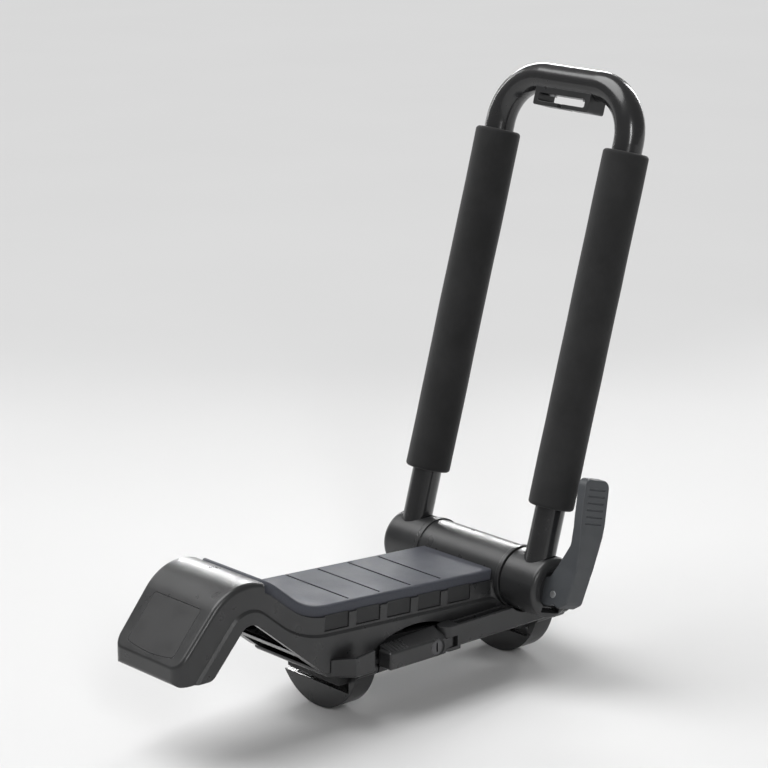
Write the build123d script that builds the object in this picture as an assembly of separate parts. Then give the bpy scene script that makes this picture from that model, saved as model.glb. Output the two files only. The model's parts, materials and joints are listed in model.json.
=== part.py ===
from build123d import *
import os
from math import atan2, cos, degrees, radians, sin, sqrt, tan

# Sizes are in millimetres and degrees. Everything is drawn about the hinge axis, which runs along Y, and
# is moved at the end so that the origin is the middle of the load bar's seat. X runs along the load bar.

# Place of the hinge axis over the bar seat
HINGE_X = 66.5
HINGE_Z = 56.0

# Clearances
RUNNING_FIT = 0.05
SEAT_FIT = 0.02
LOOSE_FIT = 0.3
PASSING_FIT = 0.6

# Cradle line seen from the side, from the nose over the hump and along the saddle to the hinge
VALLEY_BACK = 226.0
VALLEY_RISE = 19.5
VALLEY_RADIUS = 60.0
RAMP_ANGLE = 39.4
RAMP_LENGTH = 86.2
CREST_RADIUS = 44.5
NOSE_ANGLE = 49.5
NOSE_LENGTH = 120.0
SADDLE_FALL = 3.3

# Base moulding
BASE_HALF = 45.0
NOSE_TAPER = 3.0
NOSE_HALF = BASE_HALF - NOSE_TAPER
SIDE_DEPTH = 33.0
CREASE_DEPTH = 21.0
SKIRT_FLARE = 2.0
NOSE_FRONT = 355.0
NOSE_BOTTOM = -13.5
NOSE_CORNER = 11.0
NOSE_LOWER_EDGE = 4.0
NOSE_HEEL = 9.0
NOSE_SWEEP = 300.0
TOP_EDGE = 4.0
TOE_RADIUS = 12.0
HEEL_BACK = 22.0
BASE_WALL = 4.0
RIB_THICKNESS = 2.4
RIB_DEPTH = 27.0
RIB_SPACING_Y = 27.0
RIB_PITCH = 36.0
RIB_ROOT = 1.0
BOSS_RADIUS = 5.5
BOSS_HEIGHT = 26.0
FINGER_DEPTH = 6.0
FINGER_HEIGHT = 20.0
FINGER_LENGTH = 112.0
FINGER_BACK = 116.0
GUSSET_LENGTH = 22.0

# Saddle pad
PAD_THICKNESS = 7.0
PAD_INSET = 2.0
PAD_HALF = BASE_HALF - PAD_INSET
PAD_GLUE = 0.15
PAD_FRONT_BACK = 271.0
PAD_PROUD = 2.0
PAD_CORNER = 14.0
PAD_EDGE = 2.4
PANEL_PITCH = 33.4
FIRST_GROOVE_BACK = 180.0
GROOVE_COUNT = 4
GROOVE_WIDTH = 2.4
GROOVE_DEPTH = 1.6
GROOVE_INSET = 4.3
GROOVE_HALF = PAD_HALF - GROOVE_INSET
TAB_WIDTH = 25.0
TAB_TOP = 6.0
TAB_DROP = 12.8
TAB_RECESS = 1.0
TAB_THICKNESS = 2.2
TAB_NECK = 2.4
TAB_NECK_WIDTH = 15.0

# Bare panel let into the nose
PLATE_MARGIN = 13.0
PLATE_WIDTH = 2 * (NOSE_HALF - PLATE_MARGIN)
PLATE_LENGTH = 43.0
PLATE_START = 8.0
PLATE_BULGE = 3.0
PLATE_CORNER = 3.0
PLATE_THICKNESS = 2.2

# Hinge barrel and knuckles
BARREL_RADIUS = 26.0
BARREL_LENGTH = 105.0
BARREL_WALL = 4.5
RIM_RISE = 1.2
RIM_WIDTH = 4.0
BUSH_LENGTH = 14.0
SEAM = 1.5
WASHER_INNER = 12.0
WASHER_OUTER = 23.0
KNUCKLE_LENGTH = 39.0
FAR_KNUCKLE_LENGTH = 41.0
KNUCKLE_EDGE = 4.0
FAR_KNUCKLE_EDGE = 7.0

# U-shaped upright
LEAN = 15.8
LEG_OUTSET = 23.0
LEG_SPACING = BARREL_LENGTH + 2 * LEG_OUTSET
LEG_FORWARD = 6.9
TUBE_OD = 25.4
TUBE_WALL = 2.0
TUBE_REACH = 415.0
TUBE_FOOT = 11.5
BEND_RADIUS = 43.0
SOCKET_LIP = 1.4
SOCKET_LIP_DEPTH = 4.0
KNUCKLE_PIN_RADIUS = 2.5
KNUCKLE_PIN_HEIGHT = 15.5

# Foam sleeves
FOAM_OD = 39.0
FOAM_LENGTH = 300.4
FOAM_START = 64.8
FOAM_EDGE = 3.0

# Strap hook under the top of the tube
HOOK_WIDTH = 64.0
HOOK_HEIGHT = 17.0
HOOK_BOTTOM = 24.0
HOOK_FRONT = 17.0
HOOK_DEPTH = 20.0
HOOK_CORNER = 2.0
HOOK_SLOT_WIDTH = 54.0
HOOK_SLOT_HEIGHT = 7.0
HOOK_LIP = 3.6
HOOK_GAP = 5.2
HOOK_GAP_AT = 1.0
HOOK_SCREW_SPACING = 40.0
HOOK_SCREW_RADIUS = 2.0
HOOK_SCREW_HEAD = 3.6
HOOK_SCREW_HEAD_HEIGHT = 1.6

# Clamp rod, cam lever and its pin
ROD_RADIUS = 4.0
EYE_RADIUS = 7.0
EYE_THICKNESS = 8.6
NUT_RADIUS = 10.0
NUT_LENGTH = 7.0
NUT_SOCKET = 6.0
CAM_PIN_RADIUS = 3.0
CAM_PIN_PROUD = 8.0
CAM_PIN_DROP = 3.5
CAM_PIN_HEAD = 0.3
CAM_RADIUS = 12.0
CAM_SHIFT = (5.5, 1.5)
CAM_SEAT_THICKNESS = 1.2
CAM_SEAT_START = 12.5
RECESS_RADIUS = 18.0
RECESS_DEPTH = 3.0
LEVER_REACH = 97.0
LEVER_HUB_HALF = 10.0
LEVER_PAD_HALF = 15.0
LEVER_INNER_EDGE = ((-6.0, LEVER_REACH), (-11.0, 58.0), (-10.5, 41.0), (7.5, 8.5), (7.5, 0.0))
LEVER_INNER_ROUNDS = (0.0, 30.0, 10.0, 0.0, 0.0)
LEVER_HEEL = ((2.0, -10.0), (-8.0, -14.0), (-16.5, -8.0))
LEVER_OUTER_EDGE = (*LEVER_HEEL, (-20.5, 22.0), (-20.0, 50.0), (-14.0, LEVER_REACH))
LEVER_OUTER_ROUNDS = (0.0, 4.0, 5.0, 30.0, 40.0, 0.0)
LEVER_NECK_TOP = 20.0
LEVER_PAD_START = 60.0
LEVER_FRONT_ROUNDS = (0.0, 40.0, 30.0, 7.0)
LEVER_SIDE_EDGE = 1.5
GRIP_COUNT = 6
GRIP_PITCH = 5.6
GRIP_RADIUS = 0.8
GRIP_FROM_TOP = 8.0

# Clamp tray below the base
TRAY_FRONT = 209.0
TRAY_BACK = 66.0
TRAY_OUTSET = 17.0
TRAY_HALF = BASE_HALF + TRAY_OUTSET
TRAY_TOP = -21.0
RIM_FRONT = -25.5
TRAY_BOTTOM = -40.0
TRAY_FLOOR = 4.0
TRAY_WALL = 3.0
TRAY_CHAMFER = 17.0
TRAY_EDGE = 2.0
RAIL_WIDTH = 11.5
RIDGE_WALL = 2.5
BAY_FRONT = 172.0
BAY_BACK = 81.0
TRAY_SCREW_RADIUS = 2.5
TRAY_SCREW_HEAD = 4.5
TRAY_SCREW_HEAD_HEIGHT = 2.4
TRAY_SCREW_LENGTH = 20.0
TRAY_SCREW_X = (-120.0, -14.0)
TRAY_SCREW_INSET = 15.0
TRAY_SCREW_Y = BASE_HALF - TRAY_SCREW_INSET

# Mount lever in the tray's side, with its key lock
LEVER_FRONT = 157.0
LEVER_PROUD = 2.0
LEVER_OUTSIDE = TRAY_HALF + LEVER_PROUD
LEVER_DEPTH = 15.6
LEVER_TOP = -27.0
LEVER_HEIGHT = 15.0
LEVER_EDGE = 1.2
LEVER_CROWN = 5.6
LEVER_CROWN_FRONT = 3.0
PIVOT_BACK = 88.0
PIVOT_RADIUS = 2.5
EYE_WALL = 3.9
EAR_THICKNESS = 3.0
LEVER_RIB_COUNT = 5
LEVER_NECK = 2.0
LEVER_CORNERS = (2.0, 2.0, 0.0, 1.0, 0.0, 0.0)
LEVER_RIB_PITCH = 3.6
LEVER_RIB_WIDTH = 1.4
LEVER_RIB_DEPTH = 0.8
LOCK_BACK = 105.0
LOCK_RADIUS = 6.0
LOCK_LENGTH = 10.0
LOCK_TAIL_RADIUS = 3.0
LOCK_TAIL_LENGTH = 3.0
LOCK_RING = 1.3
LOCK_RING_DEPTH = 1.2
KEY_SLOT_WIDTH = 1.6
KEY_SLOT_LENGTH = 8.0
KEY_SLOT_DEPTH = 3.0

# Jaws, their shaft and the bar seat
JAW_SPACING = 203.0
JAW_WIDTH = 20.0
JAW_TOP = -64.0
JAW_RADIUS = 51.0
JAW_CENTRE_Z = -34.0
JAW_BLIND = 3.0
SHAFT_INSET = 18.0
SHAFT_Y = SHAFT_INSET - TRAY_HALF
JAW_CENTRE_INSET = 47.0
JAW_CENTRE_Y = SHAFT_Y + JAW_CENTRE_INSET
THROAT_INSET = 7.5
JAW_THROAT_Y = SHAFT_Y + THROAT_INSET
SHAFT_Z = -43.6
SHAFT_RADIUS = 2.4
SHAFT_OVERHANG = 16.0
RING_GAP = 0.5
JAW_KNUCKLE_WALL = 3.0
HOOK_WALL = 3.2
HOOK_RUN = 10.0
HOOK_STEP = 2.0
RING_WALL = 1.0
RING_WIDTH = 2.0
JAW_PAD_THICKNESS = 3.0
JAW_PAD_LENGTH = 62.0
JAW_PAD_Y = 0.0
JAW_PAD_RISE = 0.5
JAW_PAD_GROOVES = (-12.0, 12.0)
JAW_LIP = 2.5
CRANK_BACK = 137.0
CRANK_WIDTH = 6.0
CRANK_WALL = 1.4
CRANK_TIP = 2.0
CRANK_UNDER_LEVER = 3.0
SEAT_LENGTH = 40.0
SEAT_CLEARANCE = 0.5
SEAT_NEAR = -JAW_THROAT_Y - SEAT_CLEARANCE
SEAT_FAR = 28.0
SEAT_RIDGES = 5
SEAT_GROOVE_DEPTH = 1.5
SEAT_GROOVE_WIDTH = 2.4
CROSS_WIDTH = 1.0

# Places that follow from the sizes above
BARREL_END = BARREL_LENGTH / 2
KNUCKLE_START = BARREL_END + SEAM
KNUCKLE_END = KNUCKLE_START + KNUCKLE_LENGTH
FAR_END = KNUCKLE_START + FAR_KNUCKLE_LENGTH
CAM_PIN_AT = KNUCKLE_END + CAM_PIN_PROUD
CAM_SWEEP = sqrt(CAM_SHIFT[0] ** 2 + CAM_SHIFT[1] ** 2) + CAM_RADIUS
TUBE_RADIUS = TUBE_OD / 2
BASE_BOTTOM = TRAY_BOTTOM + TRAY_FLOOR
SKIRT_HALF = BASE_HALF + SKIRT_FLARE
BAR_SEAT_Z = -HINGE_Z
JAW_MIDS = (-HINGE_X - JAW_SPACING / 2, -HINGE_X + JAW_SPACING / 2)
LEVER_INSIDE = LEVER_OUTSIDE - LEVER_DEPTH
LEVER_BOTTOM = LEVER_TOP - LEVER_HEIGHT
EYE_OUTER = PIVOT_RADIUS + EYE_WALL
PIVOT_Y = -LEVER_INSIDE - EYE_OUTER
EAR_RADIUS = TRAY_HALF + PIVOT_Y
LOCK_Z = LEVER_TOP - LEVER_HEIGHT / 2
JAW_KNUCKLE_RADIUS = SHAFT_RADIUS + JAW_KNUCKLE_WALL

# The leg frame: local X along the hinge axis, local Y up the legs, local Z square to the two legs
LEG = Plane(origin=(0, 0, 0), x_dir=(0, 1, 0), z_dir=(cos(radians(LEAN)), 0, -sin(radians(LEAN))))
TO_BAR_SEAT = Pos(HINGE_X, 0, HINGE_Z)


def cradle_corners(depth):
    """Corners of the cradle line, moved square to it by a depth below the surface."""
    valley = Vector(-VALLEY_BACK, VALLEY_RISE)
    ramp = Vector(cos(radians(RAMP_ANGLE)), -sin(radians(RAMP_ANGLE)))
    nose = Vector(cos(radians(NOSE_ANGLE)), sin(radians(NOSE_ANGLE)))
    saddle = Vector(cos(radians(SADDLE_FALL)), -sin(radians(SADDLE_FALL)))
    apex = valley - ramp * RAMP_LENGTH
    tip = apex - nose * NOSE_LENGTH
    end = valley + saddle * (VALLEY_BACK / cos(radians(SADDLE_FALL)))
    below = [Vector(d.Y, -d.X) for d in (nose, ramp, saddle)]
    mitre = [(a + b) / (1 + a.dot(b)) for a, b in zip(below, below[1:])]
    shifts = [below[0], *mitre, below[-1]]
    return [point + shift * depth for point, shift in zip((tip, apex, valley, end), shifts)]


def cradle_line(depth):
    """The cradle line at a depth below the surface, with its crest and its valley rounded."""
    return FilletPolyline(*cradle_corners(depth), radius=[CREST_RADIUS - depth, VALLEY_RADIUS + depth])


def underside_line():
    """Lower edge of the base from the nose over the arch, down the ramp and along the bottom."""
    tip, apex, _, _ = cradle_corners(SIDE_DEPTH)
    toe = Vector(apex.X + (apex.Y - BASE_BOTTOM) / tan(radians(RAMP_ANGLE)), BASE_BOTTOM)
    heel = Vector(HEEL_BACK, BASE_BOTTOM)
    return FilletPolyline(tip, apex, toe, heel, radius=[CREST_RADIUS - SIDE_DEPTH, TOE_RADIUS])


def between(upper, lower):
    """Upright face between two open lines, closed by straight ends."""
    ends = [Line(upper @ 0, lower @ 0), Line(upper @ 1, lower @ 1)]
    return make_face(Curve() + [upper, lower, *ends])


def along_y(face, half):
    """Extrude a face drawn in X and Z by the same length to both sides."""
    return extrude(Plane.XZ * face, half, both=True)


def y_cylinder(radius, length):
    """Cylinder about the hinge axis."""
    return Rot(90, 0, 0) * Cylinder(radius, length)


def x_cylinder(radius, length):
    """Cylinder along X."""
    return Rot(0, 90, 0) * Cylinder(radius, length)


def cradle_height(x):
    """Height of the straight saddle surface at a distance in front of the hinge."""
    return VALLEY_RISE - (x + VALLEY_BACK) * tan(radians(SADDLE_FALL))


def groove_places():
    """X of the grooves across the saddle pad."""
    return [-FIRST_GROOVE_BACK + PANEL_PITCH * i for i in range(GROOVE_COUNT)]


def tab_places():
    """X of the clip tabs, in the middle of each panel between the grooves."""
    first = -FIRST_GROOVE_BACK - PANEL_PITCH / 2
    return [first + PANEL_PITCH * i for i in range(GROOVE_COUNT + 1)]


def nose_plane():
    """Plane of the nose's outer face: local X across the base, local Y up the nose from its front edge."""
    apex = cradle_corners(0)[1]
    rise = (apex.X + NOSE_FRONT) * tan(radians(NOSE_ANGLE))
    up_nose = Vector(cos(radians(NOSE_ANGLE)), 0, sin(radians(NOSE_ANGLE)))
    across = Vector(0, -1, 0)
    return Plane(origin=(-NOSE_FRONT, 0, apex.Y - rise), x_dir=across, z_dir=across.cross(up_nose))


def base_plan(grow):
    """Upright prism over the base's plan outline: narrower at the nose, with round front corners."""
    apex = cradle_corners(0)[1]
    front = -NOSE_FRONT + max(-grow, 0)
    outline = [(front, NOSE_HALF + grow), (apex.X, BASE_HALF + grow), (TRAY_BACK, BASE_HALF + grow)]
    mirrored = [(x, -y) for x, y in reversed(outline)]
    rounds = [NOSE_CORNER + min(grow, 0), NOSE_SWEEP, 0]
    face = make_face(FilletPolyline(*outline, *mirrored, radius=rounds + rounds[::-1], close=True))
    height = NOSE_FRONT
    return Pos(0, 0, -height / 2) * extrude(face, height)


def side_outline(upper):
    """Side face of the base between a cradle line and the underside, closed at the heel."""
    lower = underside_line()
    heel = [upper @ 1, Vector(HEEL_BACK, (upper @ 1).Y), lower @ 1]
    return make_face(Curve() + [upper, lower, Line(upper @ 0, lower @ 0), Polyline(*heel)])


def base_body():
    """Solid J of the base: upper band with rounded top edges over a flared skirt below the crease."""
    upper = nose_lip(nose_foot(side_outline(cradle_line(0))))
    upper = along_y(upper, BASE_HALF + SKIRT_FLARE) & base_plan(0)
    inner = BASE_HALF - NOSE_CORNER - TOP_EDGE
    top_edges = [e for e in upper.edges() if on_cradle(e @ 0.5) and is_outer(e, inner)]
    upper = fillet(top_edges, TOP_EDGE)
    skirt = nose_foot(side_outline(cradle_line(CREASE_DEPTH)))
    skirt = along_y(skirt, 2 * BASE_HALF) & base_plan(SKIRT_FLARE)
    crease = [e for e in skirt.edges() if on_crease(e @ 0.5) and is_outer(e, inner)]
    skirt = chamfer(crease, SKIRT_FLARE - SEAT_FIT)
    return upper + skirt


def nose_foot(face):
    """Side face with the nose cut off flat below and in front, and the corner behind its foot rounded."""
    below = Pos(-NOSE_FRONT, NOSE_BOTTOM - SIDE_DEPTH) * Rectangle(2 * CREST_RADIUS, 2 * SIDE_DEPTH)
    ahead = Pos(-NOSE_FRONT - NOSE_LENGTH, 0) * Rectangle(2 * NOSE_LENGTH, 2 * NOSE_FRONT)
    face = face - below - ahead
    low = [v for v in face.vertices() if v.X < -VALLEY_BACK and abs(v.Y - NOSE_BOTTOM) < SEAT_FIT]
    return fillet(max(low, key=lambda v: v.X), NOSE_HEEL)


def nose_lip(face):
    """Side face with the lower front corner of the nose rounded."""
    front = [v for v in face.vertices() if abs(v.X + NOSE_FRONT) < SEAT_FIT]
    return fillet(min(front, key=lambda v: v.Y), NOSE_LOWER_EDGE)


def below_nose(raise_by):
    """Room under the nose's flat lower end, raised a little to keep the ribs clear of it."""
    room = Box(2 * CREST_RADIUS, 4 * BASE_HALF, 2 * SIDE_DEPTH)
    return Pos(-NOSE_FRONT, 0, NOSE_BOTTOM - SIDE_DEPTH + raise_by) * room


def is_outer(edge, inner):
    """True for an edge of the outline: off the middle of the base, or along the front of the nose."""
    along_front = abs((edge @ 0.5).X + NOSE_FRONT) < LOOSE_FIT
    return along_front or abs((edge @ 0.5).Y) > inner


def on_cradle(point):
    """True where a point lies on the upper surface of the cradle."""
    return cradle_line(0).distance_to(Vector(point.X, point.Z)) < LOOSE_FIT


def on_pad_rim(edge):
    """True for the rim of the pad's top: along both sides and round the front, but not at the barrel."""
    middle = edge @ 0.5
    on_top = cradle_line(-PAD_PROUD).distance_to(Vector(middle.X, middle.Z)) < LOOSE_FIT
    return on_top and not (abs(middle.Y) < PAD_EDGE and middle.X > -VALLEY_BACK)


def on_crease(point):
    """True where a point lies on the upper surface of the skirt."""
    return cradle_line(CREASE_DEPTH).distance_to(Vector(point.X, point.Z)) < LOOSE_FIT


def pad_zone(top, bottom, half, clearance):
    """Slab along the cradle between two depths, from the pad's front edge back to the barrel."""
    slab = along_y(between(cradle_line(top), cradle_line(bottom)), half)
    tall = PAD_FRONT_BACK
    length = PAD_FRONT_BACK + clearance
    return slab & Pos(-length / 2, 0, 0) * Box(length, 2 * tall, 2 * tall)


def tab_block(x, side, grow):
    """Clip tab in its window and the neck that joins it to the pad, or the room for both."""
    face = TAB_RECESS if grow == 0 else -SKIRT_FLARE
    back = TAB_RECESS + TAB_THICKNESS + grow
    tab = Box(TAB_WIDTH + 2 * grow, back - face, TAB_DROP + 2 * grow)
    tab = Pos(0, -(face + back) / 2, -TAB_TOP - TAB_DROP / 2) * tab
    neck_height = TAB_TOP + TAB_DROP / 2 - PAD_THICKNESS / 2
    neck = Box(TAB_NECK_WIDTH + 2 * grow, TAB_NECK + 2 * grow, neck_height)
    neck_place = -TAB_RECESS - TAB_THICKNESS - TAB_NECK / 2
    tab = tab + Pos(0, neck_place, -PAD_THICKNESS / 2 - neck_height / 2) * neck
    turned = tab if side > 0 else mirror(tab, about=Plane.XZ)
    place = Pos(x, side * BASE_HALF, cradle_height(x))
    return place * Rot(0, SADDLE_FALL, 0) * turned


def base_room():
    """Hollow of the base, open below: wall thickness under the nose and under the saddle floor."""
    floor_depth = PAD_THICKNESS + BASE_WALL
    far_below = cradle_line(SIDE_DEPTH + BASE_WALL)
    crest_end = -PAD_FRONT_BACK - BASE_WALL
    room_end = -BARREL_RADIUS - BASE_WALL
    saddle_front = cradle_corners(floor_depth)[2].X
    tall = NOSE_FRONT
    nose_zone = Pos(crest_end - tall / 2, 0, 0) * Box(tall, tall, tall)
    pad_side = Pos(room_end - tall / 2, 0, 0) * Box(tall, tall, tall)
    nose_room = along_y(between(cradle_line(BASE_WALL), far_below), BASE_HALF) & nose_zone
    pad_room = along_y(between(cradle_line(floor_depth), far_below), BASE_HALF) & pad_side
    length = room_end - saddle_front
    height = cradle_height(-BARREL_RADIUS) - floor_depth - BASE_BOTTOM
    block_room = Pos(saddle_front + length / 2, 0, BASE_BOTTOM + height / 2) * Box(length, tall, height)
    upper_rooms = (nose_room + pad_room) & base_plan(-BASE_WALL)
    return upper_rooms + (block_room & base_plan(-BASE_WALL - FINGER_DEPTH))


def finger_recess():
    """Arched recess in the near side, over the mount lever, for the fingers."""
    radius = (FINGER_LENGTH ** 2 / 4 + FINGER_HEIGHT ** 2) / (2 * FINGER_HEIGHT)
    arch = Pos(-FINGER_BACK, BASE_BOTTOM + FINGER_HEIGHT - radius) * Circle(radius)
    foot = Pos(-FINGER_BACK, BASE_BOTTOM + FINGER_HEIGHT) * Rectangle(FINGER_LENGTH, 2 * FINGER_HEIGHT)
    cut = along_y(arch & foot, FINGER_DEPTH)
    return Pos(0, -SKIRT_HALF, 0) * cut


def barrel_gussets():
    """Slanted webs that widen the base's sides out to the ends of the barrel."""
    foot = -BARREL_RADIUS - GUSSET_LENGTH / 2
    height = cradle_height(0) - PAD_THICKNESS - BASE_BOTTOM
    webs = Part()
    for side in (-1, 1):
        inside = side * (BASE_HALF - BASE_WALL)
        outside = side * (BARREL_END - RIM_WIDTH / 2)
        corners = [(foot, inside), (foot + GUSSET_LENGTH, outside), (foot + GUSSET_LENGTH, inside)]
        plan = make_face(Polyline(*corners, close=True))
        webs = webs + Pos(0, 0, BASE_BOTTOM + TAB_DROP) * extrude(plan, height - TAB_DROP)
    return webs


def base_shell():
    """One moulding with nose, hump, saddle floor and barrel, hollow below, with ribs and screw bosses."""
    shell = base_body() - base_room()
    shell = shell - pad_zone(-PAD_THICKNESS, PAD_THICKNESS, 2 * BASE_HALF, LOOSE_FIT)
    shell = shell + base_ribs() + barrel_gussets() - finger_recess()
    boss = Pos(0, 0, BASE_BOTTOM + BOSS_HEIGHT / 2) * Cylinder(BOSS_RADIUS, BOSS_HEIGHT)
    for x in TRAY_SCREW_X:
        for side in (-1, 1):
            shell = shell + Pos(x, side * TRAY_SCREW_Y, 0) * boss
    shell = shell + y_cylinder(BARREL_RADIUS, BARREL_LENGTH)
    for side in (-1, 1):
        rim = y_cylinder(BARREL_RADIUS + RIM_RISE, RIM_WIDTH)
        shell = shell + Pos(0, side * (BARREL_END - RIM_WIDTH / 2), 0) * rim
    shell = shell - y_cylinder(BARREL_RADIUS - BARREL_WALL, BARREL_LENGTH)
    hole = Pos(0, 0, BASE_BOTTOM) * Cylinder(TRAY_SCREW_RADIUS + SEAT_FIT, 2 * TRAY_SCREW_LENGTH)
    for x in TRAY_SCREW_X:
        for side in (-1, 1):
            shell = shell - Pos(x, side * TRAY_SCREW_Y, 0) * hole
    for x in tab_places():
        for side in (-1, 1):
            shell = shell - tab_block(x, side, LOOSE_FIT)
    return shell - plate_block(LOOSE_FIT)


def base_ribs():
    """Webs under the skin: two along the base and a row across it, set back from the lower edge."""
    top = cradle_line(PAD_THICKNESS + BASE_WALL - RIB_ROOT)
    zone = along_y(between(top, cradle_line(RIB_DEPTH)), BASE_HALF) & base_plan(RIB_ROOT - BASE_WALL)
    reach = NOSE_FRONT - BARREL_RADIUS
    tall = NOSE_FRONT
    plates = Part()
    for side in (-1, 1):
        plate = Box(reach, RIB_THICKNESS, tall)
        plates = plates + Pos(-NOSE_FRONT + reach / 2, side * RIB_SPACING_Y / 2, 0) * plate
    for i in range(1, int(reach // RIB_PITCH)):
        plates = plates + Pos(-NOSE_FRONT + i * RIB_PITCH, 0, 0) * Box(RIB_THICKNESS, 2 * BASE_HALF, tall)
    return (zone & plates) - below_nose(BASE_WALL)


def plate_block(grow):
    """Bare nose panel with a bowed lower edge, or the recess for it."""
    half = PLATE_WIDTH / 2 + grow
    low, high = PLATE_START - grow, PLATE_START + PLATE_LENGTH + grow
    sides = Polyline((-half, low), (-half, high), (half, high), (half, low))
    bow = ThreePointArc((half, low), (0, low - PLATE_BULGE), (-half, low))
    outline = make_face(Curve() + [sides, bow])
    outline = fillet(outline.vertices(), PLATE_CORNER + grow)
    depth = PLATE_THICKNESS + (SEAT_FIT if grow else 0)
    return extrude(nose_plane() * outline, -depth)


def saddle_pad():
    """Grooved pad over the ramp and the saddle, ending against the barrel, with clip tabs down both sides."""
    pad = pad_zone(-PAD_PROUD, PAD_THICKNESS - PAD_GLUE, PAD_HALF, 0)
    pad = pad - y_cylinder(BARREL_RADIUS + LOOSE_FIT, 2 * BARREL_LENGTH)
    front = [e for e in pad.edges().filter_by(Axis.Z) if (e @ 0.5).X < LOOSE_FIT - PAD_FRONT_BACK]
    pad = fillet(front, PAD_CORNER)
    top_edges = [e for e in pad.edges() if on_pad_rim(e)]
    pad = fillet(top_edges, PAD_EDGE)
    for x in groove_places():
        cutter = Pos(0, 0, PAD_PROUD) * Box(GROOVE_WIDTH, 2 * GROOVE_HALF, 2 * GROOVE_DEPTH)
        pad = pad - Pos(x, 0, cradle_height(x)) * Rot(0, SADDLE_FALL, 0) * cutter
    for x in tab_places():
        for side in (-1, 1):
            pad = pad + tab_block(x, side, 0)
    return pad


def hinge_bushes():
    """Plain bushes in the barrel's ends that carry the clamp rod."""
    bushes = []
    for side in (-1, 1):
        ring = y_cylinder(BARREL_RADIUS - BARREL_WALL - SEAT_FIT, BUSH_LENGTH)
        ring = ring - y_cylinder(ROD_RADIUS + RUNNING_FIT, BUSH_LENGTH)
        bushes.append(Pos(0, side * (BARREL_END - BUSH_LENGTH / 2), 0) * ring)
    return Compound(bushes)


def friction_washers():
    """Flat rings in the two seams between barrel and knuckles."""
    rings = []
    for side in (-1, 1):
        ring = x_cylinder(WASHER_OUTER, SEAM - RUNNING_FIT) - x_cylinder(WASHER_INNER, SEAM)
        rings.append(Pos(side * (KNUCKLE_START - (SEAM - RUNNING_FIT) / 2), 0, 0) * ring)
    return Compound(rings)


def knuckle(side, length, edge):
    """Hinge knuckle with a socket for the tube's end and a hole for the clamp rod."""
    body = x_cylinder(BARREL_RADIUS, length)
    ends = body.edges().filter_by(GeomType.CIRCLE).sort_by(Axis.X)
    body = fillet(ends[-1] if side > 0 else ends[0], edge)
    body = Pos(side * (KNUCKLE_START + length / 2), 0, 0) * body
    body = body - Pos(side * KNUCKLE_START, 0, 0) * x_cylinder(ROD_RADIUS + LOOSE_FIT, 3 * length)
    leg = Pos(side * LEG_SPACING / 2, 0, -LEG_FORWARD)
    socket = Rot(90, 0, 0) * Cylinder(TUBE_RADIUS + SEAT_FIT, BARREL_RADIUS)
    body = body - leg * Pos(0, TUBE_FOOT + BARREL_RADIUS / 2, 0) * socket
    lip = Rot(90, 0, 0) * Cylinder(TUBE_RADIUS + SOCKET_LIP, BARREL_RADIUS)
    body = body - leg * Pos(0, BARREL_RADIUS * 3 / 2 - SOCKET_LIP_DEPTH, 0) * lip
    return body - knuckle_pin(side, SEAT_FIT)


def cam_room(radius, half):
    """Round bar about the cam pin, as a cutter for the room in which the cam's foot turns."""
    return Pos(-CAM_PIN_AT, -CAM_PIN_DROP, 0) * Cylinder(radius, 2 * half)


def near_knuckle():
    """Near knuckle, with a round recess in its end and a pocket in that for the cam and its washer."""
    recess = Pos(-KNUCKLE_END, 0, 0) * x_cylinder(RECESS_RADIUS, 2 * RECESS_DEPTH)
    pocket = cam_room(CAM_SWEEP + LOOSE_FIT + CAM_SEAT_THICKNESS + SEAT_FIT, LEVER_HUB_HALF + PASSING_FIT)
    return knuckle(-1, KNUCKLE_LENGTH, KNUCKLE_EDGE) - recess - pocket


def far_knuckle():
    """Far knuckle, with a round seat for the rod's nut."""
    seat = x_cylinder(NUT_RADIUS + SEAT_FIT, NUT_LENGTH)
    return knuckle(1, FAR_KNUCKLE_LENGTH, FAR_KNUCKLE_EDGE) - Pos(FAR_END - NUT_LENGTH / 2, 0, 0) * seat


def cam_seat():
    """Hollow washer that lines the pocket where the cam's foot bears, with a hole for the rod."""
    half = LEVER_HUB_HALF + PASSING_FIT - SEAT_FIT
    inner = CAM_SWEEP + LOOSE_FIT
    shell = cam_room(inner + CAM_SEAT_THICKNESS, half) - cam_room(inner, 2 * half)
    reach = 2 * CAM_SWEEP
    inward = Pos(-CAM_PIN_AT + CAM_SEAT_START + reach / 2, 0, 0) * Box(reach, 2 * reach, reach)
    shell = shell & inward
    return shell - Pos(-KNUCKLE_END, 0, 0) * x_cylinder(ROD_RADIUS + LOOSE_FIT, 2 * KNUCKLE_LENGTH)


def knuckle_pin(side, grow):
    """Pin driven in from behind through knuckle and tube, or the hole for it."""
    back = sqrt(BARREL_RADIUS ** 2 - KNUCKLE_PIN_HEIGHT ** 2) - LOOSE_FIT
    front = -LEG_FORWARD - TUBE_RADIUS + TUBE_WALL
    length = back - front + KNUCKLE_EDGE * (1 if grow else 0)
    pin = Cylinder(KNUCKLE_PIN_RADIUS + grow, length)
    return Pos(side * LEG_SPACING / 2, KNUCKLE_PIN_HEIGHT, front + length / 2) * pin


def knuckle_pins():
    """The two pins that hold the tube in its sockets."""
    return Compound([knuckle_pin(side, 0) for side in (-1, 1)])


def leg_path():
    """Centre line of the tube: up one leg, across the top and down the other."""
    half = LEG_SPACING / 2
    points = [(-half, TUBE_FOOT), (-half, TUBE_REACH), (half, TUBE_REACH), (half, TUBE_FOOT)]
    return FilletPolyline(*points, radius=BEND_RADIUS)


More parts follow.
